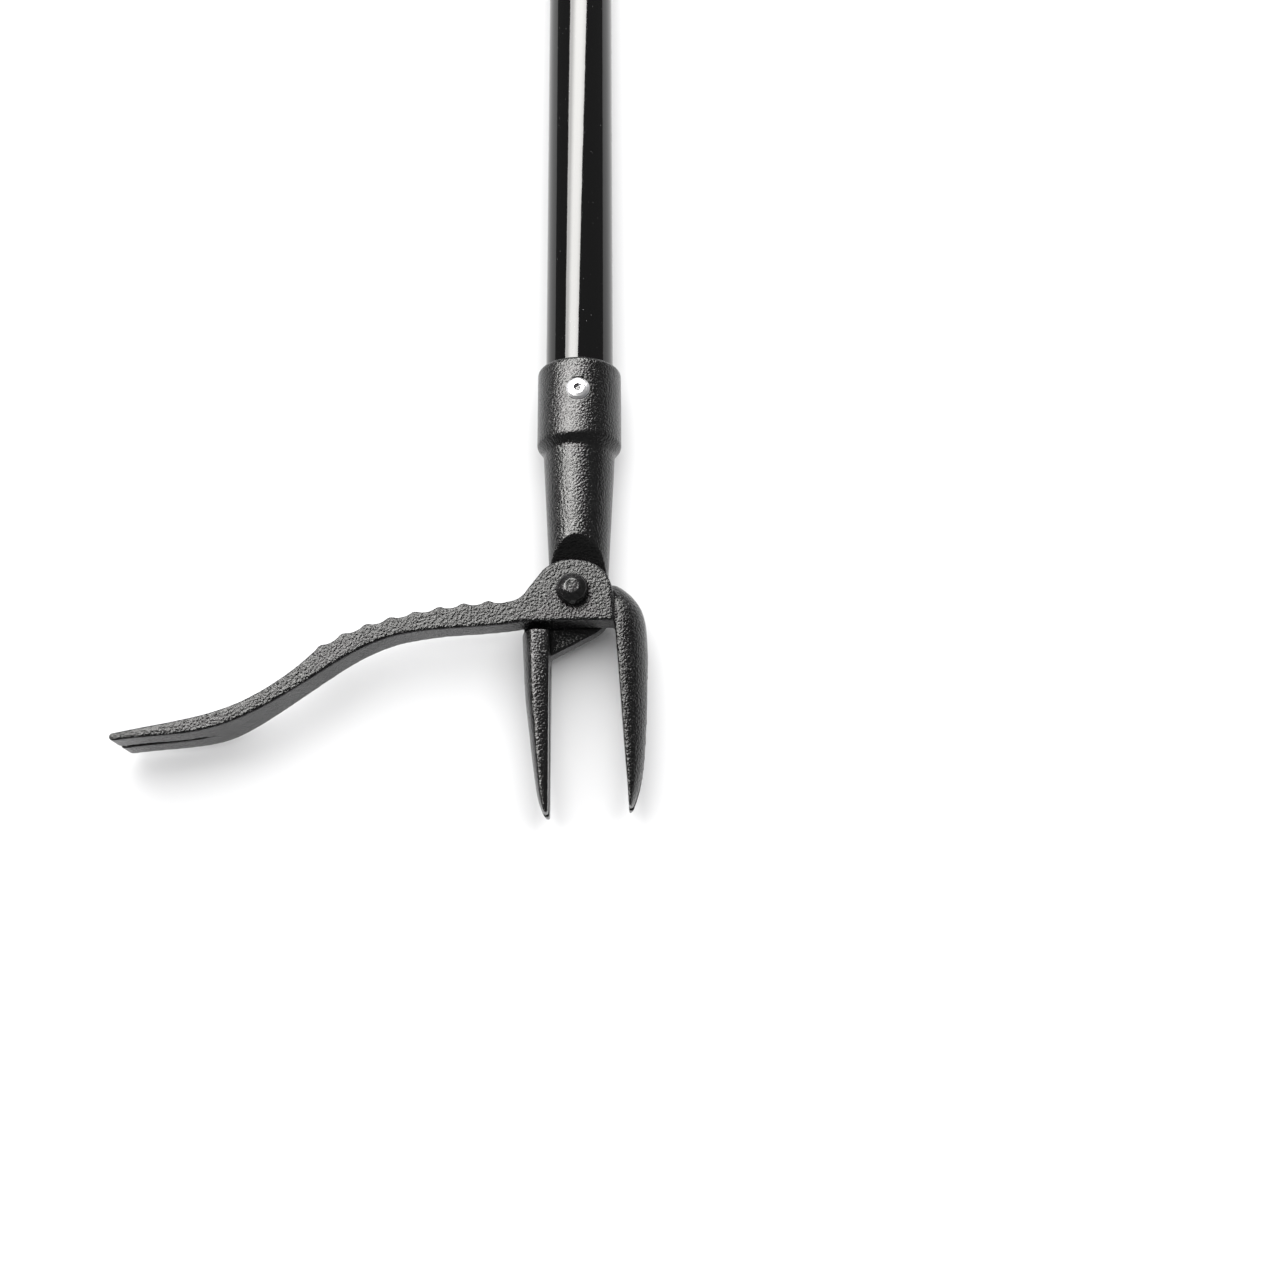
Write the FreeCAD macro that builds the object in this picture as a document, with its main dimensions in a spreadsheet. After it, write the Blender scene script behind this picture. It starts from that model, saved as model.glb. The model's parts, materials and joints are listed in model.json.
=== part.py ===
import FreeCAD, Part
import math
import os
import re
import Sketcher

"""Stand-up weeding claw: a screw-together pole, a cast head with a fixed two-tine claw,
and a cast foot lever that carries the moving claw.

Millimetres.  While the pieces are made, the pole's axis is the Y axis, Y = 0 is the level
of the pivot, +Y runs up the pole, the lever points along -X and the pivot's axis is
parallel to Z.  The last step moves every piece together, so that the middle of the
underside of the whole tool is the origin.
"""

Vector = FreeCAD.Vector
doc = FreeCAD.newDocument("weeding_claw")

# ------------------------------------------------------------------ driving dimensions
DIMENSIONS = {
    # pole
    "tube_dia": 28.0,
    "tube_wall": 1.2,
    "tube_start": 72.0,
    "tube_length": 276.0,
    # screw joints between the pole's sections
    "insert_depth": 30.0,
    "flange_thick": 3.0,
    "stud_dia": 16.0,
    "stud_length": 25.0,
    "thread_gap": 0.05,
    "stud_chamfer": 1.2,
    "insert_chamfer": 1.0,
    "stud_floor": 8.0,
    "stud_hollow_dia": 15.6,
    # handle
    "grip_dia": 34.0,
    "grip_length": 150.0,
    "grip_chamfer": 1.5,
    "cap_head": 5.0,
    "cap_floor": 4.0,
    "cap_wall": 3.0,
    "cap_edge": 0.8,
    "cap_round": 2.3,
    "eye_width": 22.0,
    "eye_thick": 10.0,
    "eye_level": 15.0,
    "hang_hole": 8.0,
    # head casting: socket and neck
    "collar_dia": 34.8,
    "collar_top": 100.0,
    "collar_base": 66.2,
    "neck_top": 62.6,
    "neck_top_dia": 29.4,
    "neck_low_dia": 23.8,
    "neck_end": 9.5,
    "rim_round": 2.0,
    "socket_cone": 4.0,
    # head casting: tongue, web and fixed claw
    "pivot_x": -2.0,
    "pad_rad": 16.2,
    "boss_step": 2.0,
    "tongue_front": 1.0,
    "web_thick": 7.5,
    "tongue_back": -9.5,
    "scoop_foot": 16.0,
    "scoop_step": 3.6,
    # lever casting
    "ear_front": 14.0,
    "ear_back": 2.0,
    "pedal_back": -11.0,
    "root_inset": 2.5,
    "sweep_gap": 0.5,
    # claws
    "slot_width": 4.6,
    "slot_top": -27.0,
    # pivot bolt, nut and washers
    "shank_dia": 8.0,
    "hinge_gap": 0.06,
    "head_dia": 13.0,
    "head_flat": 5.8,
    "head_high": 5.8,
    "head_skirt": 2.0,
    "head_bevel": 4.2,
    "head_taper": 1.0,
    "bolt_chamfer": 0.6,
    "thrust_dia": 19.0,
    "washer_thick": 1.2,
    "nut_thick": 5.5,
    "nut_flats": 13.0,
    "bolt_end": -17.0,
    "face_gap": 0.05,
    # socket rivet
    "rivet_level": 85.2,
    "rivet_dia": 4.8,
    "rivet_head": 9.5,
    "rivet_seat": 16.75,
    "spot_gap": 0.2,
    "bulb_dia": 6.6,
    "bulb_length": 3.0,
    "mandrel_dia": 2.4,
    "mandrel_ball_dia": 4.2,
}

sheet = doc.addObject("Spreadsheet::Sheet", "Dims")
for row, (alias, number) in enumerate(DIMENSIONS.items(), start=1):
    sheet.set("A%d" % row, alias)
    sheet.set("B%d" % row, str(number))
    sheet.setAlias("B%d" % row, alias)
doc.recompute()


def size(alias):
    """A driving dimension, read back from the sheet."""
    return float(getattr(sheet, alias))


def bound(text):
    """An expression of sheet aliases, with the sheet's name put before each alias."""
    return re.sub(r"[a-z][a-z_0-9]*", r"Dims.\g<0>", text)


def value(text):
    """What an expression of sheet aliases comes to now."""
    return float(sheet.evalExpression(bound(text)))


# ------------------------------------------------------------------ small helpers
bodies = []
places = {}


def new_body(label, place=("0", "0", "0")):
    """A PartDesign body whose own origin stands at place, given as three expressions."""
    body = doc.addObject("PartDesign::Body", label)
    body.Label = label
    bodies.append(body)
    places[label] = Vector(*[value(text) for text in place])
    return body


def new_sketch(body, name, role, raised=0.0):
    """A sketch on one of the body's origin planes, raised along the plane's normal."""
    sketch = body.newObject("Sketcher::SketchObject", name)
    planes = [item for item in body.Origin.OriginFeatures if item.Role == role]
    sketch.AttachmentSupport = [(planes[0], "")]
    sketch.MapMode = "FlatFace"
    sketch.AttachmentOffset = FreeCAD.Placement(Vector(0, 0, raised), FreeCAD.Rotation())
    return sketch


def pin_point(sketch, line, text, axis):
    """Bind one coordinate of a line's start point to an expression."""
    kind, datum_axis = (("DistanceX", -2), ("DistanceY", -1))[axis]
    if text == "0":
        sketch.addConstraint(Sketcher.Constraint("PointOnObject", line, 1, datum_axis))
        return
    index = sketch.addConstraint(Sketcher.Constraint(kind, -1, 1, line, 1, value(text)))
    sketch.setExpression("Constraints[%d]" % index, bound(text))


def polygon(sketch, corners):
    """A closed polygon whose every corner is bound to the sheet."""
    points = [Vector(value(across), value(up), 0) for across, up in corners]
    count = len(points)
    for i in range(count):
        sketch.addGeometry(Part.LineSegment(points[i], points[(i + 1) % count]), False)
    for i in range(count):
        sketch.addConstraint(Sketcher.Constraint("Coincident", i, 2, (i + 1) % count, 1))
    for i, corner in enumerate(corners):
        pin_point(sketch, i, corner[0], 0)
        pin_point(sketch, i, corner[1], 1)


def circle(sketch, centre, radius):
    """A circle whose centre and radius are bound to the sheet."""
    middle = Vector(value(centre[0]), value(centre[1]), 0)
    sketch.addGeometry(Part.Circle(middle, Vector(0, 0, 1), value(radius)), False)
    for axis, (kind, datum_axis) in enumerate((("DistanceX", -2), ("DistanceY", -1))):
        if centre[axis] == "0":
            sketch.addConstraint(Sketcher.Constraint("PointOnObject", 0, 3, datum_axis))
            continue
        index = sketch.addConstraint(
            Sketcher.Constraint(kind, -1, 1, 0, 3, value(centre[axis])))
        sketch.setExpression("Constraints[%d]" % index, bound(centre[axis]))
    index = sketch.addConstraint(Sketcher.Constraint("Radius", 0, value(radius)))
    sketch.setExpression("Constraints[%d]" % index, bound(radius))


def revolve(body, name, role, corners):
    """Turn a polygon once round the sketch's upright axis."""
    sketch = new_sketch(body, name + "_profile", role)
    polygon(sketch, corners)
    turned = body.newObject("PartDesign::Revolution", name)
    turned.Profile = sketch
    turned.ReferenceAxis = (sketch, ["V_Axis"])
    turned.Angle = 360.0
    doc.recompute()
    return turned


def pad(body, name, sketch, length):
    """Thicken a sketch along its plane's normal."""
    solid = body.newObject("PartDesign::Pad", name)
    solid.Profile = sketch
    solid.setExpression("Length", bound(length))
    doc.recompute()
    return solid


def pocket(body, name, sketch, both_ways=False, backwards=False):
    """Cut a sketch through everything on one side of its plane, or on both."""
    before = body.Shape.Volume
    cut = body.newObject("PartDesign::Pocket", name)
    cut.Profile = sketch
    cut.Type = "ThroughAll"
    cut.Midplane = both_ways
    cut.Reversed = backwards
    doc.recompute()
    if not body.Shape.Volume < before - 0.01:
        raise RuntimeError(name + " cuts nothing")
    return cut


def round_edges(body, name, radius, wanted):
    """Fillet the edges of the body that the test wanted picks."""
    base = body.Tip
    picked = ["Edge%d" % (i + 1) for i, edge in enumerate(base.Shape.Edges) if wanted(edge)]
    if not picked:
        raise RuntimeError(name + " finds no edge")
    fillet = body.newObject("PartDesign::Fillet", name)
    fillet.Base = (base, picked)
    fillet.setExpression("Radius", bound(radius))
    doc.recompute()
    return fillet


def ring_edge(level, radius):
    """A test for the circular edges of one radius at one level of the pole."""
    def wanted(edge):
        curve = edge.Curve
        if not isinstance(curve, Part.Circle):
            return False
        return abs(curve.Radius - radius) < 0.01 and abs(curve.Center.y - level) < 0.01
    return wanted


def curve_through(points):
    """A smooth curve through points given as (across, up)."""
    curve = Part.BSplineCurve()
    curve.interpolate([Vector(across, up, 0) for across, up in points])
    return curve


def arc_through(start, middle, end):
    return Part.Arc(*[Vector(across, up, 0) for across, up in (start, middle, end)])


def line_between(start, end):
    return Part.LineSegment(Vector(*start, 0), Vector(*end, 0))


# ------------------------------------------------------------------ claws
# Stations of each claw: level along the pole, inner face, outermost line, half width.
FIXED_CLAW = [
    (-15.0, -11.2, -22.4, 12.7),
    (-22.0, -11.2, -22.0, 12.7),
    (-32.0, -11.3, -21.5, 12.5),
    (-43.0, -11.3, -20.7, 12.1),
    (-56.0, -11.3, -19.1, 11.5),
    (-68.0, -11.3, -17.6, 10.8),
    (-77.0, -11.3, -16.3, 10.2),
    (-82.5, -11.3, -15.1, 9.8),
    (-86.9, -11.3, -13.1, 9.4),
]
MOVING_CLAW = [
    (5.6, 13.0, 14.8, 2.0),
    (4.6, 13.1, 16.8, 5.2),
    (2.6, 13.3, 19.4, 7.8),
    (-0.6, 13.7, 22.6, 10.2),
    (-4.8, 14.0, 25.2, 11.8),
    (-12.0, 14.5, 26.9, 12.6),
    (-24.0, 15.4, 27.5, 12.6),
    (-40.0, 16.5, 27.4, 12.2),
    (-56.0, 17.6, 26.7, 11.5),
    (-68.0, 18.5, 25.6, 10.8),
    (-76.0, 19.1, 24.2, 10.2),
    (-81.0, 19.4, 22.7, 9.8),
    (-84.6, 19.6, 21.3, 9.4),
]
# Where each claw is widest, as a share of its depth, and how much narrower its inner face is.
FIXED_CREST, FIXED_DROP = 0.55, 1.0
MOVING_CREST, MOVING_DROP = 0.14, 0.1


def claw_section(body, name, station, crest, drop):
    """A flat-backed, crowned section of a claw, square to the pole."""
    level, inner, outer, half = station
    sketch = new_sketch(body, name, "XZ_Plane", -level)
    shoulder = inner + crest * (outer - inner)
    reach = abs(outer - shoulder)
    middle, rim, crown = (inner + shoulder) / 2, half - drop, half - drop / 4
    front, back = Vector(shoulder, half, 0), Vector(shoulder, -half, 0)
    sketch.addGeometry(line_between((inner, -rim), (inner, rim)), False)
    sketch.addGeometry(arc_through((inner, rim), (middle, crown), (shoulder, half)), False)
    if reach > half:
        ellipse = Part.Ellipse(Vector(outer, 0, 0), front, Vector(shoulder, 0, 0))
        start, end = back, front
    else:
        ellipse = Part.Ellipse(front, Vector(outer, 0, 0), Vector(shoulder, 0, 0))
        start, end = front, back
    sketch.addGeometry(
        Part.ArcOfEllipse(ellipse, ellipse.parameter(start), ellipse.parameter(end)), False)
    sketch.addGeometry(arc_through((shoulder, -half), (middle, -crown), (inner, -rim)), False)
    return sketch


def add_claw(body, stations, crest, drop):
    """Loft the claw through its stations, then part its tines with a slot."""
    sections = [claw_section(body, "claw_section_%d" % i, station, crest, drop)
                for i, station in enumerate(stations)]
    loft = body.newObject("PartDesign::AdditiveLoft", "claw")
    loft.Profile = sections[0]
    loft.Sections = sections[1:]
    loft.Ruled = False
    doc.recompute()
    level, inner, outer, _ = stations[-1]
    outwards = 1 if outer > inner else -1
    inside = stations[0][1] - 2 * outwards
    slot = new_sketch(body, "slot_outline", "YZ_Plane", inside)
    half, top, end = size("slot_width") / 2, size("slot_top"), level - 5
    slot.addGeometry(line_between((end, -half), (end, half)), False)
    slot.addGeometry(line_between((end, half), (top - half, half)), False)
    slot.addGeometry(arc_through((top - half, half), (top, 0), (top - half, -half)), False)
    slot.addGeometry(line_between((top - half, -half), (end, -half)), False)
    pocket(body, "slot", slot, backwards=outwards > 0)


# ------------------------------------------------------------------ head casting
WEB_SLOPE = math.radians(28)    # fall of the web's lower edge towards the fixed claw
WEB_OVERLAP = 3.0               # how far the web reaches into the claw
CHEEK_TOP = (-21.8, -9.0)       # left edge of the tongue above the fixed claw
CHEEK_FOOT = (-21.8, -17.0)


def make_head_casting():
    """Socket, tapered neck, tongue for the pivot, web and the fixed claw, in one casting."""
    body = new_body("head_casting")
    revolve(body, "socket_and_neck", "XY_Plane", [
        ("0", "neck_end"),
        ("neck_low_dia / 2", "neck_end"),
        ("neck_top_dia / 2", "neck_top"),
        ("collar_dia / 2", "collar_base"),
        ("collar_dia / 2", "collar_top"),
        ("tube_dia / 2", "collar_top"),
        ("tube_dia / 2", "tube_start"),
        ("tube_dia / 2 - socket_cone", "tube_start - socket_cone"),
        ("0", "tube_start - socket_cone"),
    ])
    round_edges(body, "collar_rim", "rim_round",
                ring_edge(size("collar_top"), size("collar_dia") / 2))
    round_edges(body, "collar_shoulder", "rim_round",
                ring_edge(size("collar_base"), size("collar_dia") / 2))
    round_edges(body, "neck_root", "rim_round",
                ring_edge(size("neck_top"), size("neck_top_dia") / 2))

    # the neck's front is scooped away round the pivot, down to the tongue's face
    foot, step, face = size("scoop_foot"), size("scoop_step"), size("tongue_front")
    clear = size("neck_low_dia")
    scoop = new_sketch(body, "scoop_outline", "XZ_Plane")
    scoop.AttachmentOffset = FreeCAD.Placement(
        Vector(size("pivot_x"), 0, 0), FreeCAD.Rotation())
    scoop_corners = [(0, face), (foot, face), (foot, face + step),
                     (foot + clear, face + step + clear), (0, face + step + clear)]
    for start, end in zip(scoop_corners, scoop_corners[1:] + scoop_corners[:1]):
        scoop.addGeometry(line_between(start, end), False)
    groove = body.newObject("PartDesign::Groove", "scoop")
    groove.Profile = scoop
    groove.ReferenceAxis = (scoop, ["V_Axis"])
    groove.Angle = 360.0
    doc.recompute()

    # tongue: a round pad that runs into a web, down to the claw's root
    middle, radius = size("pivot_x"), size("pad_rad")
    claw_inner = FIXED_CLAW[0][1] - WEB_OVERLAP
    touch = (middle + radius * math.sin(WEB_SLOPE), -radius * math.cos(WEB_SLOPE))
    heel = (claw_inner, touch[1] - (touch[0] - claw_inner) * math.tan(WEB_SLOPE))
    left = (middle - radius, 0)
    plate = new_sketch(body, "plate_outline", "XY_Plane", face - size("web_thick"))
    plate.addGeometry(arc_through(touch, (middle, radius), left), False)
    plate.addGeometry(line_between(left, CHEEK_TOP), False)
    plate.addGeometry(line_between(CHEEK_TOP, CHEEK_FOOT), False)
    plate.addGeometry(line_between(CHEEK_FOOT, heel), False)
    plate.addGeometry(line_between(heel, touch), False)
    pad(body, "tongue_and_web", plate, "web_thick")

    boss = new_sketch(body, "boss_outline", "XY_Plane", size("tongue_back"))
    circle(boss, ("pivot_x", "0"), "pad_rad - boss_step")
    pad(body, "pivot_boss", boss, "tongue_front - tongue_back - boss_step / 2")

    add_claw(body, FIXED_CLAW, FIXED_CREST, FIXED_DROP)

    bore = new_sketch(body, "pivot_bore_outline", "XY_Plane")
    circle(bore, ("pivot_x", "0"), "shank_dia / 2")
    pocket(body, "pivot_bore", bore, both_ways=True)
    hole = new_sketch(body, "rivet_hole_outline", "XY_Plane")
    circle(hole, ("0", "rivet_level"), "rivet_dia / 2")
    pocket(body, "rivet_hole", hole, backwards=True)
    seat = new_sketch(body, "rivet_seat_outline", "XY_Plane", size("rivet_seat"))
    circle(seat, ("0", "rivet_level"), "rivet_head / 2 + spot_gap")
    pocket(body, "rivet_seat_face", seat, backwards=True)


# ------------------------------------------------------------------ lever casting
RIDGE_COUNT = 8       # foot ridges on top of the lever
RIDGE_HEIGHT = 0.75
HOLLOW_DEPTH = 0.45
HOLLOW_SHARE = 0.58   # share of the pitch that each hollow takes
RIDGE_LINE = [(-27.5, -4.2), (-46.5, -5.8), (-65.5, -9.1), (-84.5, -14.4), (-101.5, -23.2)]
PEDAL_TOP = [(-101.5, -23.2), (-109.0, -30.2), (-121.0, -39.0), (-134.0, -45.6),
             (-152.0, -50.7), (-177.0, -55.6)]
PEDAL_END = (-178.9, -57.1)
UNDERSIDE = [(-177.0, -58.7), (-157.0, -56.8), (-142.0, -54.6), (-128.0, -49.6),
             (-103.5, -35.2), (-87.0, -24.6), (-73.0, -18.5), (-56.0, -15.6), (-21.5, -12.6)]
ARM_BACK = [(-50.0, 2.0), (-70.0, 0.2), (-103.0, -1.5), (-120.0, -4.8), (-134.0, -9.6),
            (-148.0, -11.0)]
EAR_CORNER = (14.0, -12.2)
EAR_SIDE = (13.7, 0.5)
EAR_SHOULDER = (9.9, 8.5)
EAR_TOP = (-1.1, 13.05)
EAR_CROWN = (-8.2, 12.2)
EAR_LEFT = (-13.7, 8.8)
EAR_FOOT = (-20.0, 0.5)
EAR_HEEL = (-23.8, -3.2)
CLAW_ROOT = [(11.0, -12.2), (16.5, -12.2), (15.0, 1.0), (11.0, 1.0)]
FAR_SIDE = 20.0       # clear of the ear's right side
SLIT = [(-181.0, 3.2), (-141.0, 1.9), (-141.0, 1.2), (-181.0, -0.2)]


def ridge_arcs():
    """The foot grip on the lever's top line: a hollow and a ridge, again and again."""
    line = curve_through(RIDGE_LINE)
    pitch_marks = line.discretize(Number=RIDGE_COUNT + 1)
    arcs = []
    for start, end in zip(pitch_marks, pitch_marks[1:]):
        turn = start + (end - start) * HOLLOW_SHARE
        along = (end - start).normalize()
        upward = Vector(along.y, -along.x, 0)
        arcs.append(Part.Arc(start, (start + turn) / 2 - upward * HOLLOW_DEPTH, turn))
        arcs.append(Part.Arc(turn, (turn + end) / 2 + upward * RIDGE_HEIGHT, end))
    return arcs


def make_lever_casting():
    """Pedal, arm, pivot ear and the moving claw, in one casting."""
    body = new_body("lever_casting")
    outline = new_sketch(body, "lever_outline", "XY_Plane", size("pedal_back"))
    outline.addGeometry(line_between(EAR_CORNER, EAR_SIDE), False)
    outline.addGeometry(arc_through(EAR_SIDE, EAR_SHOULDER, EAR_TOP), False)
    outline.addGeometry(arc_through(EAR_TOP, EAR_CROWN, EAR_LEFT), False)
    outline.addGeometry(line_between(EAR_LEFT, EAR_FOOT), False)
    outline.addGeometry(arc_through(EAR_FOOT, EAR_HEEL, RIDGE_LINE[0]), False)
    for arc in ridge_arcs():
        outline.addGeometry(arc, False)
    outline.addGeometry(curve_through(PEDAL_TOP), False)
    outline.addGeometry(arc_through(PEDAL_TOP[-1], PEDAL_END, UNDERSIDE[0]), False)
    outline.addGeometry(curve_through(UNDERSIDE), False)
    outline.addGeometry(line_between(UNDERSIDE[-1], EAR_CORNER), False)
    pad(body, "lever_blank", outline, "ear_front - pedal_back")

    # the arm is thin at the ear and grows backwards to the full width of the pedal
    ear_back, beyond = size("ear_back"), 1.5 * size("pedal_back")
    back = new_sketch(body, "arm_back_outline", "XZ_Plane")
    back.addGeometry(line_between((FAR_SIDE, ear_back), ARM_BACK[0]), False)
    back.addGeometry(curve_through(ARM_BACK), False)
    back.addGeometry(line_between(ARM_BACK[-1], (ARM_BACK[-1][0], beyond)), False)
    back.addGeometry(line_between((ARM_BACK[-1][0], beyond), (FAR_SIDE, beyond)), False)
    back.addGeometry(line_between((FAR_SIDE, beyond), (FAR_SIDE, ear_back)), False)
    pocket(body, "arm_back", back, both_ways=True)

    slit = new_sketch(body, "slit_outline", "XZ_Plane")
    for start, end in zip(SLIT, SLIT[1:] + SLIT[:1]):
        slit.addGeometry(line_between(start, end), False)
    pocket(body, "pedal_slit", slit, both_ways=True)

    # a block inside the root joins the ear to the claw
    root = new_sketch(body, "root_outline", "XY_Plane", ear_back)
    for start, end in zip(CLAW_ROOT, CLAW_ROOT[1:] + CLAW_ROOT[:1]):
        root.addGeometry(line_between(start, end), False)
    pad(body, "claw_root", root, "ear_front - ear_back - root_inset")

    add_claw(body, MOVING_CLAW, MOVING_CREST, MOVING_DROP)

    sweep = new_sketch(body, "sweep_outline", "XY_Plane", ear_back)
    circle(sweep, ("pivot_x", "0"), "pad_rad + sweep_gap")
    pocket(body, "sweep_clearance", sweep)
    bore = new_sketch(body, "ear_bore_outline", "XY_Plane")
    circle(bore, ("pivot_x", "0"), "shank_dia / 2 + hinge_gap")
    pocket(body, "ear_bore", bore, both_ways=True)


# ------------------------------------------------------------------ pivot
def make_pivot():
    """Bolt with its domed head in front, washers, and the nut behind."""
    at_pivot = ("pivot_x", "0", "0")
    bolt = new_body("pivot_bolt", at_pivot)
    seat = "ear_front + face_gap"
    revolve(bolt, "bolt", "XZ_Plane", [
        ("0", "bolt_end"),
        ("shank_dia / 2 - bolt_chamfer", "bolt_end"),
        ("shank_dia / 2", "bolt_end + bolt_chamfer"),
        ("shank_dia / 2", seat),
        ("head_dia / 2", seat),
        ("head_dia / 2", seat + " + head_skirt"),
        ("head_dia / 2 - head_taper", seat + " + head_bevel"),
        ("head_flat / 2", seat + " + head_high"),
        ("0", seat + " + head_high"),
    ])

    thrust = new_body("thrust_washer", at_pivot)
    revolve(thrust, "thrust_ring", "XZ_Plane", [
        ("shank_dia / 2 + hinge_gap", "tongue_front"),
        ("thrust_dia / 2", "tongue_front"),
        ("thrust_dia / 2", "ear_back - face_gap"),
        ("shank_dia / 2 + hinge_gap", "ear_back - face_gap"),
    ])

    washer = new_body("nut_washer", at_pivot)
    revolve(washer, "washer_ring", "XZ_Plane", [
        ("shank_dia / 2", "tongue_back - washer_thick"),
        ("shank_dia", "tongue_back - washer_thick"),
        ("shank_dia", "tongue_back"),
        ("shank_dia / 2", "tongue_back"),
    ])

    nut = new_body("pivot_nut", at_pivot)
    under = value("tongue_back - washer_thick - nut_thick")
    hexagon = new_sketch(nut, "nut_outline", "XY_Plane", under)
    corner = size("nut_flats") / math.sqrt(3)
    corners = [(corner * math.cos(math.radians(60 * i)), corner * math.sin(math.radians(60 * i)))
               for i in range(6)]
    for start, end in zip(corners, corners[1:] + corners[:1]):
        hexagon.addGeometry(line_between(start, end), False)
    pad(nut, "nut_blank", hexagon, "nut_thick")
    bore = new_sketch(nut, "nut_bore_outline", "XY_Plane")
    circle(bore, ("0", "0"), "shank_dia / 2")
    pocket(nut, "nut_bore", bore, both_ways=True)


# ------------------------------------------------------------------ rivet
# The rivet's dome, from its rim to the rim of its hole: in from the edge, up from the seat.
RIVET_DOME = [(0.0, 0.0), (0.0, 0.5), (0.9, 1.3), (2.2, 1.85), (3.0, 1.9), (3.2, 0.2)]
RIVET_HOLE_FLOOR = 0.2
STEM_TOP = 0.95
STEM_BREAK = 0.5      # where the broken end of the stem starts to narrow
STEM_CHAMFER = 0.5


def make_rivet():
    """Blind rivet that locks the pole in the socket, and the stem left in it."""
    at_rivet = ("0", "rivet_level", "0")
    rivet = new_body("socket_rivet", at_rivet)
    inside = "tube_dia / 2 - tube_wall"
    revolve(rivet, "rivet", "XZ_Plane", [
        ("mandrel_dia / 2", inside + " - bulb_length"),
        ("bulb_dia / 2", inside + " - bulb_length * 0.9"),
        ("bulb_dia / 2", inside + " - bulb_length / 3"),
        ("rivet_dia / 2", inside + " - bulb_length / 7"),
        ("rivet_dia / 2", "rivet_seat"),
    ] + [
        ("rivet_head / 2 - %.2f" % inset, "rivet_seat + %.2f" % rise) for inset, rise in RIVET_DOME
    ] + [
        ("mandrel_dia / 2", "rivet_seat + %.2f" % RIVET_HOLE_FLOOR),
    ])
    stem = new_body("rivet_mandrel", at_rivet)
    revolve(stem, "mandrel", "XZ_Plane", [
        ("0", inside + " - bulb_length - mandrel_ball_dia / 2"),
        ("mandrel_ball_dia / 2", inside + " - bulb_length - mandrel_ball_dia / 3"),
        ("mandrel_ball_dia / 2", inside + " - bulb_length"),
        ("mandrel_dia / 2", inside + " - bulb_length"),
        ("mandrel_dia / 2", "rivet_seat + %.2f" % STEM_BREAK),
        ("mandrel_dia / 2 - %.2f" % STEM_CHAMFER, "rivet_seat + %.2f" % STEM_TOP),
        ("0", "rivet_seat + %.2f" % STEM_TOP),
    ])


# ------------------------------------------------------------------ pole
def make_tube(label, bottom):
    """One section of the pole, standing on the level bottom."""
    body = new_body(label, ("0", bottom, "0"))
    revolve(body, "wall", "XY_Plane", [
        ("tube_dia / 2 - tube_wall", "0"),
        ("tube_dia / 2", "0"),
        ("tube_dia / 2", "tube_length"),
        ("tube_dia / 2 - tube_wall", "tube_length"),
    ])
    return body


def make_screw_joint(label, level):
    """The threaded socket in one section's top and the stud in the next one's foot."""
    socket = new_body(label + "_socket", ("0", level, "0"))
    inner = "tube_dia / 2 - tube_wall"
    revolve(socket, "insert", "XY_Plane", [
        ("stud_dia / 2 + thread_gap", "-insert_depth"),
        (inner + " - insert_chamfer", "-insert_depth"),
        (inner, "insert_chamfer - insert_depth"),
        (inner, "0"),
        ("tube_dia / 2", "0"),
        ("tube_dia / 2", "flange_thick"),
        ("stud_dia / 2 + thread_gap", "flange_thick"),
    ])
    stud = new_body(label + "_stud", ("0", level + " + flange_thick", "0"))
    revolve(stud, "insert", "XY_Plane", [
        ("0", "-stud_length"),
        ("stud_dia / 2 - stud_chamfer", "-stud_length"),
        ("stud_dia / 2", "stud_chamfer - stud_length"),
        ("stud_dia / 2", "0"),
        ("tube_dia / 2", "0"),
        ("tube_dia / 2", "flange_thick"),
        (inner, "flange_thick"),
        (inner, "flange_thick + insert_depth - insert_chamfer"),
        (inner + " - insert_chamfer", "flange_thick + insert_depth"),
        ("stud_hollow_dia / 2", "flange_thick + insert_depth"),
        ("stud_hollow_dia / 2", "flange_thick + stud_floor"),
        ("0", "flange_thick + stud_floor"),
    ])


def make_pole():
    """Three equal sections with a screw joint between each two."""
    step = "(tube_length + 2 * flange_thick)"
    lower = make_tube("lower_tube", "tube_start")
    hole = new_sketch(lower, "rivet_hole_outline", "XY_Plane")
    circle(hole, ("0", "rivet_level - tube_start"), "rivet_dia / 2")
    pocket(lower, "rivet_hole", hole, backwards=True)
    make_tube("middle_tube", "tube_start + " + step)
    make_tube("upper_tube", "tube_start + 2 * " + step)
    make_screw_joint("lower_joint", "tube_start + tube_length")
    make_screw_joint("upper_joint", "tube_start + tube_length + " + step)


# ------------------------------------------------------------------ handle
GRIP_GROOVES = 11
GROOVE_DEPTH = 0.9
GROOVE_MOUTH = 3.8
GROOVE_FLOOR = 2.0


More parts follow.
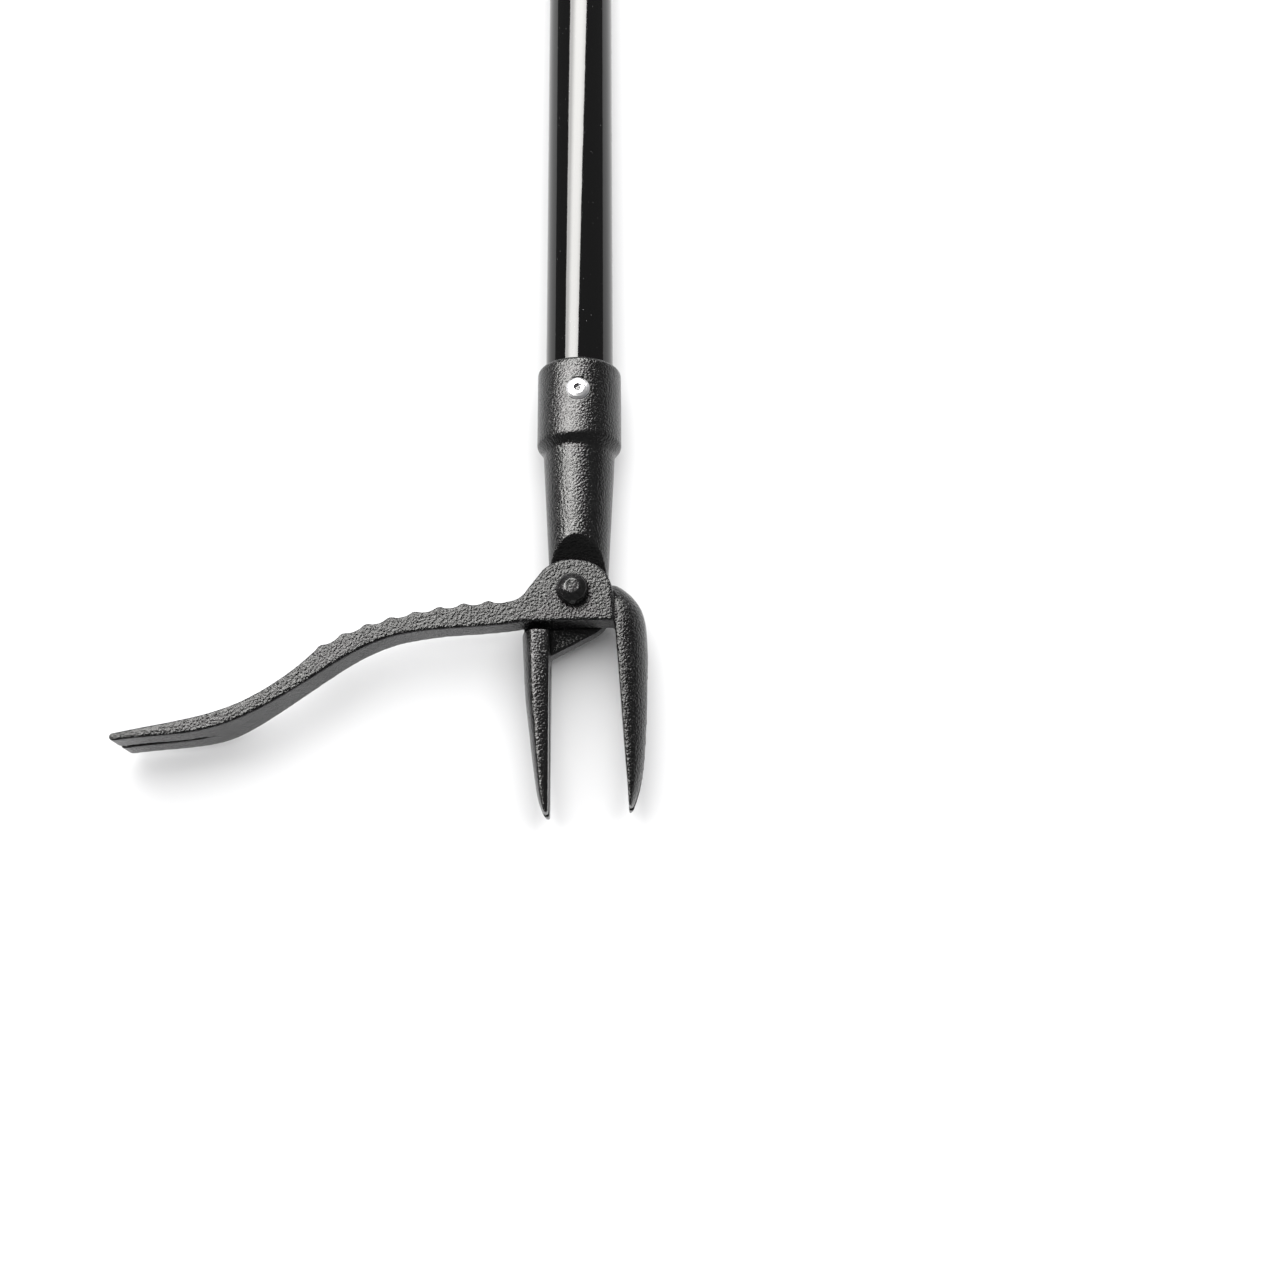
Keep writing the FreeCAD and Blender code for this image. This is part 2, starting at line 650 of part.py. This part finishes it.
def make_handle():
    """Ribbed sleeve on the upper section, and the cap with a hanging eye that closes the pole."""
    pole_top = "tube_start + 3 * tube_length + 4 * flange_thick"
    grip = new_body("handle_grip", ("0", pole_top + " - grip_length", "0"))
    outer = "grip_dia / 2"
    floor = "%s - %.1f" % (outer, GROOVE_DEPTH)
    profile = [("tube_dia / 2", "0"), (outer + " - grip_chamfer", "0"), (outer, "grip_chamfer")]
    pitch = size("grip_length") / (GRIP_GROOVES + 1)
    for i in range(1, GRIP_GROOVES + 1):
        level = pitch * i
        profile += [
            (outer, "%.2f" % (level - GROOVE_MOUTH / 2)),
            (floor, "%.2f" % (level - GROOVE_FLOOR / 2)),
            (floor, "%.2f" % (level + GROOVE_FLOOR / 2)),
            (outer, "%.2f" % (level + GROOVE_MOUTH / 2)),
        ]
    profile += [(outer, "grip_length"), ("tube_dia / 2", "grip_length")]
    revolve(grip, "sleeve", "XY_Plane", profile)

    cap = new_body("end_cap", ("0", pole_top, "0"))
    inner = "tube_dia / 2 - tube_wall"
    revolve(cap, "cap", "XY_Plane", [
        ("0", "-cap_floor"),
        (inner + " - cap_wall", "-cap_floor"),
        (inner + " - cap_wall", "-insert_depth"),
        (inner + " - cap_edge", "-insert_depth"),
        (inner, "cap_edge - insert_depth"),
        (inner, "0"),
        (outer, "0"),
        (outer, "cap_head - cap_round"),
        (outer + " - cap_edge", "cap_head - cap_edge"),
        (outer + " - cap_round", "cap_head"),
        ("0", "cap_head"),
    ])
    half, level = size("eye_width") / 2, size("eye_level")
    foot = size("cap_head") / 2
    eye = new_sketch(cap, "eye_outline", "XY_Plane", -size("eye_thick") / 2)
    eye.addGeometry(line_between((-half, level), (-half, foot)), False)
    eye.addGeometry(line_between((-half, foot), (half, foot)), False)
    eye.addGeometry(line_between((half, foot), (half, level)), False)
    eye.addGeometry(arc_through((half, level), (0, level + half), (-half, level)), False)
    pad(cap, "hanging_eye", eye, "eye_thick")
    hole = new_sketch(cap, "hang_hole_outline", "XY_Plane")
    circle(hole, ("0", "eye_level"), "hang_hole / 2")
    pocket(cap, "hang_hole", hole, both_ways=True)


make_head_casting()
make_lever_casting()
make_pivot()
make_rivet()
make_pole()
make_handle()
doc.recompute()

# ------------------------------------------------------------------ common origin
for body in bodies:
    body.Placement = FreeCAD.Placement(places[body.Label], FreeCAD.Rotation())
doc.recompute()
box = FreeCAD.BoundBox()
for body in bodies:
    box.add(body.Shape.optimalBoundingBox(False))
shift = Vector(-box.Center.x, -box.Center.y, -box.ZMin)
for body in bodies:
    body.Placement = FreeCAD.Placement(places[body.Label] + shift, FreeCAD.Rotation())
doc.recompute()

# ------------------------------------------------------------------ checks and export
for item in doc.Objects:
    if "Invalid" in item.State or "Error" in item.State:
        raise RuntimeError("%s is %s" % (item.Name, item.State))
for body in bodies:
    if body.Shape.isNull() or not body.Shape.isValid():
        raise RuntimeError(body.Label + " has no valid shape")

os.makedirs("parts", exist_ok=True)
for body in bodies:
    body.Shape.exportStep("parts/%s.step" % body.Label)
    print("%-20s %9.1f mm3  %d solid" % (body.Label, body.Shape.Volume, len(body.Shape.Solids)))
print("shift", tuple(round(part, 3) for part in shift))
print("size", round(box.XLength, 2), round(box.YLength, 2), round(box.ZLength, 2))
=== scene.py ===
"""Looks of the stand-up weeding claw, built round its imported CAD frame."""

import json
import math

import bpy
from mathutils import Matrix, Vector


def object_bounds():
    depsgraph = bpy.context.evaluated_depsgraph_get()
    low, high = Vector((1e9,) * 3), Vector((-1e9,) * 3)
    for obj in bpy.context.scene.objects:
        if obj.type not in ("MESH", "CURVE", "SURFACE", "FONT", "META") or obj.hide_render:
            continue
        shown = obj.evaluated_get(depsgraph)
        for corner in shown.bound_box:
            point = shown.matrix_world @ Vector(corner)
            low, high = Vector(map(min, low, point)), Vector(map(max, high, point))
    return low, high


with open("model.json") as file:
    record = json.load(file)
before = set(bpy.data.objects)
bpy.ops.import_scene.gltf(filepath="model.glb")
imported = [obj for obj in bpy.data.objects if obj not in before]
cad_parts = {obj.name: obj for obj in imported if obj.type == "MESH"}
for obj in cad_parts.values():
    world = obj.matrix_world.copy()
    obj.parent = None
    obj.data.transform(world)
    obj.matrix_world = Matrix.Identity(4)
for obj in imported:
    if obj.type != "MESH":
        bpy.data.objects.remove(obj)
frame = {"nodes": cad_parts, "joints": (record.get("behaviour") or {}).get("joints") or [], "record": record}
cad_low, cad_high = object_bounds()
nodes = frame["nodes"]
MM = 0.001

# The tool's own origin: on the pole's axis, level with the lever's pivot.
PIVOT_OFFSET = Vector((2 * MM, 0, 0))
tool_origin = Vector(frame["joints"][0]["pos_m"]) + PIVOT_OFFSET
FLOOR_LEVEL = cad_low.z


# ------------------------------------------------------------------ shader helpers
class Shader:
    """A material with one Principled surface, and short calls for the nodes that feed it."""

    def __init__(self, name):
        self.material = bpy.data.materials.new(name)
        self.material.use_nodes = True
        self.tree = self.material.node_tree
        self.surface = self.tree.nodes["Principled BSDF"]
        self.place = self.tree.nodes.new("ShaderNodeTexCoord").outputs["Object"]

    def feed(self, socket, value):
        """Link an output to a socket, or set the socket to a constant."""
        if isinstance(value, bpy.types.NodeSocket):
            self.tree.links.new(value, socket)
        else:
            socket.default_value = value

    def set(self, **inputs):
        """Fill inputs of the surface, such as base_color or coat_weight."""
        for key, value in inputs.items():
            found = [s for s in self.surface.inputs if s.name.lower().replace(" ", "_") == key]
            self.feed(found[0], value)

    def stretched(self, across, along, deep):
        """Object coordinates multiplied by one number per axis."""
        node = self.tree.nodes.new("ShaderNodeMapping")
        self.feed(node.inputs["Vector"], self.place)
        node.inputs["Scale"].default_value = (across, along, deep)
        return node.outputs["Vector"]

    def noise(self, scale, detail=2.0, roughness=0.5, place=None):
        """Noise of 0..1 with scale features to the metre."""
        node = self.tree.nodes.new("ShaderNodeTexNoise")
        self.feed(node.inputs["Vector"], place or self.place)
        node.inputs["Scale"].default_value = scale
        node.inputs["Detail"].default_value = detail
        node.inputs["Roughness"].default_value = roughness
        return node.outputs["Fac"]

    def cells(self, scale, feature="F1"):
        """Distance from the middle of the nearest of many cells, scale cells to the metre."""
        node = self.tree.nodes.new("ShaderNodeTexVoronoi")
        node.feature = feature
        self.feed(node.inputs["Vector"], self.place)
        node.inputs["Scale"].default_value = scale
        return node.outputs["Distance"]

    def between(self, value, low, high, to_low=0.0, to_high=1.0):
        """value taken from the range low..high to the range to_low..to_high, and held there."""
        node = self.tree.nodes.new("ShaderNodeMapRange")
        node.interpolation_type = "SMOOTHSTEP"
        numbers = (value, low, high, to_low, to_high)
        for socket, number in zip(("Value", "From Min", "From Max", "To Min", "To Max"), numbers):
            self.feed(node.inputs[socket], number)
        return node.outputs["Result"]

    def sum(self, *terms):
        """The sum of (output, weight) pairs."""
        total = 0.0
        for output, weight in terms:
            node = self.tree.nodes.new("ShaderNodeMath")
            node.operation = "MULTIPLY_ADD"
            self.feed(node.inputs[0], output)
            node.inputs[1].default_value = weight
            self.feed(node.inputs[2], total)
            total = node.outputs[0]
        return total

    def product(self, first, second):
        """The product of two outputs."""
        node = self.tree.nodes.new("ShaderNodeMath")
        node.operation = "MULTIPLY"
        self.feed(node.inputs[0], first)
        self.feed(node.inputs[1], second)
        return node.outputs[0]

    def blend(self, share, first, second):
        """A colour between two colours, each a triple or an output."""
        node = self.tree.nodes.new("ShaderNodeMix")
        node.data_type = "RGBA"
        self.feed(node.inputs["Factor"], share)
        for socket, colour in zip((node.inputs[6], node.inputs[7]), (first, second)):
            self.feed(socket, colour if isinstance(colour, bpy.types.NodeSocket) else (*colour, 1))
        return node.outputs[2]

    def bump(self, height, depth, onto=None):
        """A surface normal from a height of 0..1 that stands for depth metres."""
        node = self.tree.nodes.new("ShaderNodeBump")
        self.feed(node.inputs["Height"], height)
        node.inputs["Distance"].default_value = depth
        if onto is not None:
            self.feed(node.inputs["Normal"], onto)
        return node.outputs["Normal"]


def grey(level):
    """A neutral colour."""
    return (level, level, level)


# ------------------------------------------------------------------ materials
def cast_paint(name, pebble, depth, gloss_floor, shine=0.36):
    """Black powder coat over a sand-cast skin.

    pebble and depth are the grain's size and relief in metres, gloss_floor the least roughness and
    shine the strength of its reflections.
    """
    shader = Shader(name)
    pebbles = shader.between(shader.cells(1 / pebble, "SMOOTH_F1"), 0.05, 0.75, 1.0, 0.0)
    skin = shader.noise(1.3 / pebble, 3.0, 0.6)
    dimples = shader.noise(0.22 / pebble, 2.0)
    fine = shader.noise(6 / pebble, 2.0, 0.65)
    height = shader.sum((pebbles, 0.55), (skin, 0.75), (dimples, 0.3), (fine, 0.10))
    patches = shader.noise(90, 3.0)
    shader.set(
        base_color=shader.blend(shader.between(skin, 0.35, 0.7), grey(0.003), grey(0.009)),
        roughness=shader.sum((shader.between(patches, 0.3, 0.7), 0.06), (fine, 0.06),
                             (1.0, gloss_floor)),
        specular_ior_level=shine,
        normal=shader.bump(height, depth))
    return shader.material


def gloss_enamel():
    """Deep black stoved enamel on drawn tube, with faint drawing lines and a little dust."""
    shader = Shader("gloss_black_enamel")
    peel = shader.noise(95, 2.0)
    drawn = shader.noise(1.0, 3.0, 0.6, shader.stretched(900, 5, 900))
    specks = shader.cells(420)
    dust = shader.product(shader.between(specks, 0.030, 0.075, 1.0, 0.0),
                          shader.between(shader.noise(60), 0.48, 0.62))
    smears = shader.between(shader.noise(1.0, 3.0, 0.6, shader.stretched(40, 9, 40)), 0.45, 0.75)
    shader.set(
        base_color=shader.blend(dust, grey(0.004), grey(0.22)),
        roughness=shader.sum((smears, 0.04), (dust, 0.5), (1.0, 0.05)),
        specular_ior_level=0.34,
        normal=shader.bump(drawn, 0.004 * MM, shader.bump(peel, 0.035 * MM)))
    return shader.material


def satin_enamel():
    """Black enamel on turned steel: rings from the tool and a duller film."""
    shader = Shader("satin_black_enamel")
    turned = shader.noise(1.0, 2.0, 0.5, shader.stretched(8, 2600, 8))
    film = shader.noise(260, 3.0)
    shader.set(
        base_color=shader.blend(film, grey(0.008), grey(0.018)),
        roughness=shader.sum((film, 0.18), (1.0, 0.24)),
        normal=shader.bump(shader.sum((turned, 0.6), (film, 0.4)), 0.03 * MM))
    return shader.material


def bare_metal(name, light, dark, roughness, grain, depth):
    """Unpainted metal with a fine mottled film, grain features to the metre."""
    shader = Shader(name)
    film = shader.noise(grain, 3.0, 0.6)
    marks = shader.noise(grain * 4, 2.0)
    shader.set(
        base_color=shader.blend(shader.between(film, 0.35, 0.65), light, dark),
        metallic=1.0,
        roughness=shader.sum((film, 0.22), (1.0, roughness - 0.11)),
        normal=shader.bump(shader.sum((film, 0.5), (marks, 0.5)), depth))
    return shader.material


def moulded(name, dark, light, roughness, grain, depth):
    """Black rubber or plastic with the mould's spark-eroded grain and greyer high spots."""
    shader = Shader(name)
    pores = shader.noise(grain, 3.0, 0.7)
    film = shader.noise(grain * 0.06, 3.0)
    shader.set(
        base_color=shader.blend(shader.between(film, 0.35, 0.7), grey(dark), grey(light)),
        roughness=shader.sum((film, 0.15), (1.0, roughness)),
        specular_ior_level=0.14,
        normal=shader.bump(pores, depth))
    return shader.material


PAINT = {
    "head_casting": cast_paint("cast_black_fine", 0.84 * MM, 0.21 * MM, 0.13),
    "lever_casting": cast_paint("cast_black_coarse", 0.88 * MM, 0.31 * MM, 0.10, 0.30),
    "bolt_black": cast_paint("bolt_black_paint", 1.5 * MM, 0.15 * MM, 0.18),
    "tube_gloss_black": gloss_enamel(),
    "joint_satin_black": satin_enamel(),
    "steel_zinc": bare_metal("zinc_plated_steel", (0.60, 0.60, 0.57), (0.44, 0.45, 0.45),
                             0.34, 700, 0.03 * MM),
    "rivet_bright": bare_metal("bright_aluminium", (0.90, 0.90, 0.91), (0.70, 0.70, 0.72),
                               0.36, 900, 0.05 * MM),
    # The rivet's broken steel stem is coloured far darker than steel: painted shade for the deep hole it
    # sits in.
    "rivet_stem": bare_metal("broken_steel_stem", (0.30, 0.30, 0.30), (0.06, 0.06, 0.06),
                             0.45, 1800, 0.35 * MM),
    "grip_rubber": moulded("grip_black_rubber", 0.007, 0.014, 0.46, 2400, 0.07 * MM),
    "cap_plastic": moulded("cap_black_plastic", 0.008, 0.014, 0.34, 1800, 0.04 * MM),
}
for part in frame["record"]["subparts"]:
    material = PAINT.get(part["node"]) or PAINT[part["material_slot"]]
    for material_slot in nodes[part["node"]].material_slots:
        material_slot.material = material


# ------------------------------------------------------------------ shapes' fine detail
def skin_texture(name, pitch, octaves):
    """Cloud noise whose features are pitch metres apart."""
    texture = bpy.data.textures.new(name, "CLOUDS")
    texture.noise_scale = pitch
    texture.noise_depth = octaves
    texture.noise_basis = "BLENDER_ORIGINAL"
    return texture


# The casting's long waves, as multiples of the pebbles' pitch and relief.
WAVE_PITCH, WAVE_SHARE = 9, 1.5


def cast_skin(node, cell, passes, pitch, relief):
    """Give a node the soft edges and the uneven skin of a casting."""
    skin = node.modifiers.new("even_cells", "REMESH")
    skin.mode = "VOXEL"
    skin.voxel_size = cell
    skin.use_smooth_shade = True
    soft = node.modifiers.new("soft_edges", "SMOOTH")
    soft.factor = 0.5
    soft.iterations = passes
    layers = (("pebbles", pitch, 1.0, 1), ("waves", WAVE_PITCH * pitch, WAVE_SHARE, 0))
    for suffix, scale, share, octaves in layers:
        uneven = node.modifiers.new(suffix, "DISPLACE")
        uneven.texture = skin_texture(node.name + "_" + suffix, scale, octaves)
        uneven.texture_coords = "LOCAL"
        uneven.strength = relief * share
        uneven.mid_level = 0.5


def machined_edges(node, width):
    """A small bevel on every sharp edge of a turned or pressed piece."""
    weld = node.modifiers.new("weld", "WELD")
    weld.merge_threshold = 0.002 * MM
    bevel = node.modifiers.new("broken_edges", "BEVEL")
    bevel.width = width
    bevel.segments = 2
    bevel.limit_method = "ANGLE"
    bevel.angle_limit = math.radians(35)
    bevel.harden_normals = True


CELL = 0.5 * MM
BROKEN_EDGE = 0.3 * MM
cast_skin(nodes["head_casting"], CELL, 3, 1.1 * MM, 0.04 * MM)
cast_skin(nodes["lever_casting"], CELL, 8, 1.0 * MM, 0.07 * MM)
cast_skin(nodes["pivot_bolt"], CELL / 2, 8, 1.8 * MM, 0.08 * MM)
for piece in ("pivot_nut", "nut_washer", "thrust_washer"):
    machined_edges(nodes[piece], BROKEN_EDGE)


# ------------------------------------------------------------------ floor, light and camera
def plane(name, centre, width, length):
    """A level sheet of the studio, with its middle at centre."""
    mesh = bpy.data.meshes.new(name)
    signs = ((-1, -1), (1, -1), (1, 1), (-1, 1))
    corners = [(sx * width / 2, sy * length / 2, 0) for sx, sy in signs]
    mesh.from_pydata(corners, [], [(0, 1, 2, 3)])
    thing = bpy.data.objects.new(name, mesh)
    thing.location = centre
    bpy.context.scene.collection.objects.link(thing)
    return thing


floor_paint = Shader("floor_white")
floor_paint.set(base_color=(0.80, 0.80, 0.80, 1), roughness=0.9, specular_ior_level=0.0)
FLOOR_SIZE = 7.0
floor = plane("floor", Vector((tool_origin.x, tool_origin.y, FLOOR_LEVEL)), FLOOR_SIZE, FLOOR_SIZE)
floor.data.materials.append(floor_paint.material)

# A broad, even light over the pole for the floor, and the slanted softbox that the paint mirrors.
LIGHT_HEIGHT = 1.2
EVEN_CENTRE = Vector((0.0, 0.85, LIGHT_HEIGHT))
EVEN_WIDTH, EVEN_LENGTH = 1.8, 2.2
EVEN_POWER = 42.0
BOX_CENTRE = Vector((-0.49, 1.06, LIGHT_HEIGHT))
BOX_WIDTH, BOX_LENGTH = 1.08, 2.4
BOX_TURN = math.radians(-45)
HOT_SPOT = Vector((0.22, 0.0, 0))
GLOSS_EDGE, GLOSS_HOT = 15.0, 29.0


def above_tool(place):
    """A point given from the tool's origin, with its height counted from the floor."""
    return Vector((tool_origin.x + place.x, tool_origin.y + place.y, FLOOR_LEVEL + place.z))


even = bpy.data.lights.new("even_light", "AREA")
even.shape = "RECTANGLE"
even.size, even.size_y = EVEN_WIDTH, EVEN_LENGTH
even.energy = EVEN_POWER
even_lamp = bpy.data.objects.new("even_light", even)
even_lamp.location = above_tool(EVEN_CENTRE)
even_lamp.visible_glossy = False
bpy.context.scene.collection.objects.link(even_lamp)

glow = Shader("softbox_cloth")
centred = glow.tree.nodes.new("ShaderNodeMapping")
glow.feed(centred.inputs["Vector"], glow.place)
centred.inputs["Location"].default_value = -HOT_SPOT / (BOX_WIDTH / 2)
centred.inputs["Scale"].default_value = (2 / BOX_WIDTH, 0.6 / BOX_LENGTH, 1)
falloff = glow.tree.nodes.new("ShaderNodeTexGradient")
falloff.gradient_type = "SPHERICAL"
glow.feed(falloff.inputs["Vector"], centred.outputs["Vector"])
glow.set(base_color=(0, 0, 0, 1), specular_ior_level=0.0, emission_color=(1, 0.99, 0.97, 1),
         emission_strength=glow.between(falloff.outputs["Fac"], 0.0, 0.8, GLOSS_EDGE, GLOSS_HOT))
cloth = plane("softbox_cloth", above_tool(BOX_CENTRE), BOX_WIDTH, BOX_LENGTH)
cloth.rotation_euler.z = BOX_TURN
cloth.data.materials.append(glow.material)
cloth.visible_camera = False
cloth.visible_diffuse = False
cloth.visible_shadow = False

# The studio: pale behind the object, dim in reflections so that the black gloss stays dark,
# and brighter for the matt floor.
DIFFUSE_FILL = 3.1
world = bpy.data.worlds.new("studio")
bpy.context.scene.world = world
world.use_nodes = True
studio = world.node_tree
seen = studio.nodes["Background"]
seen.inputs["Color"].default_value = (0.95, 0.95, 0.95, 1)
dim = studio.nodes.new("ShaderNodeBackground")
dim.inputs["Color"].default_value = (0.163, 0.163, 0.165, 1)
rays = studio.nodes.new("ShaderNodeLightPath")
fill = studio.nodes.new("ShaderNodeMath")
fill.operation = "MULTIPLY_ADD"
studio.links.new(rays.outputs["Is Diffuse Ray"], fill.inputs[0])
fill.inputs[1].default_value = DIFFUSE_FILL - 1
fill.inputs[2].default_value = 1.0
studio.links.new(fill.outputs[0], dim.inputs["Strength"])
either = studio.nodes.new("ShaderNodeMixShader")
studio.links.new(rays.outputs["Is Camera Ray"], either.inputs["Fac"])
studio.links.new(dim.outputs["Background"], either.inputs[1])
studio.links.new(seen.outputs["Background"], either.inputs[2])
studio.links.new(either.outputs["Shader"], studio.nodes["World Output"].inputs["Surface"])
bpy.context.scene.view_settings.view_transform = "Standard"

# The camera looks down on the head from beyond the claws, tilted back up the pole.
CAMERA_TILT = math.radians(16.3)
CAMERA_ROLL = math.radians(0.5)
CAMERA_PLACE = Vector((24.5, -184.0, 573.4)) * MM
camera = bpy.data.cameras.new("camera")
camera.lens = 42.19
camera.sensor_width = 36
camera.clip_start = 0.01
camera.clip_end = 50
eye = bpy.data.objects.new("camera", camera)
tilted = Matrix.Rotation(CAMERA_TILT, 4, "X")
rolled = Matrix.Rotation(-CAMERA_ROLL, 4, "Z")
placed = Matrix.Translation(CAMERA_PLACE)
eye.matrix_world = Matrix.Translation(tool_origin) @ rolled @ placed @ tilted
bpy.context.scene.collection.objects.link(eye)
bpy.context.scene.camera = eye
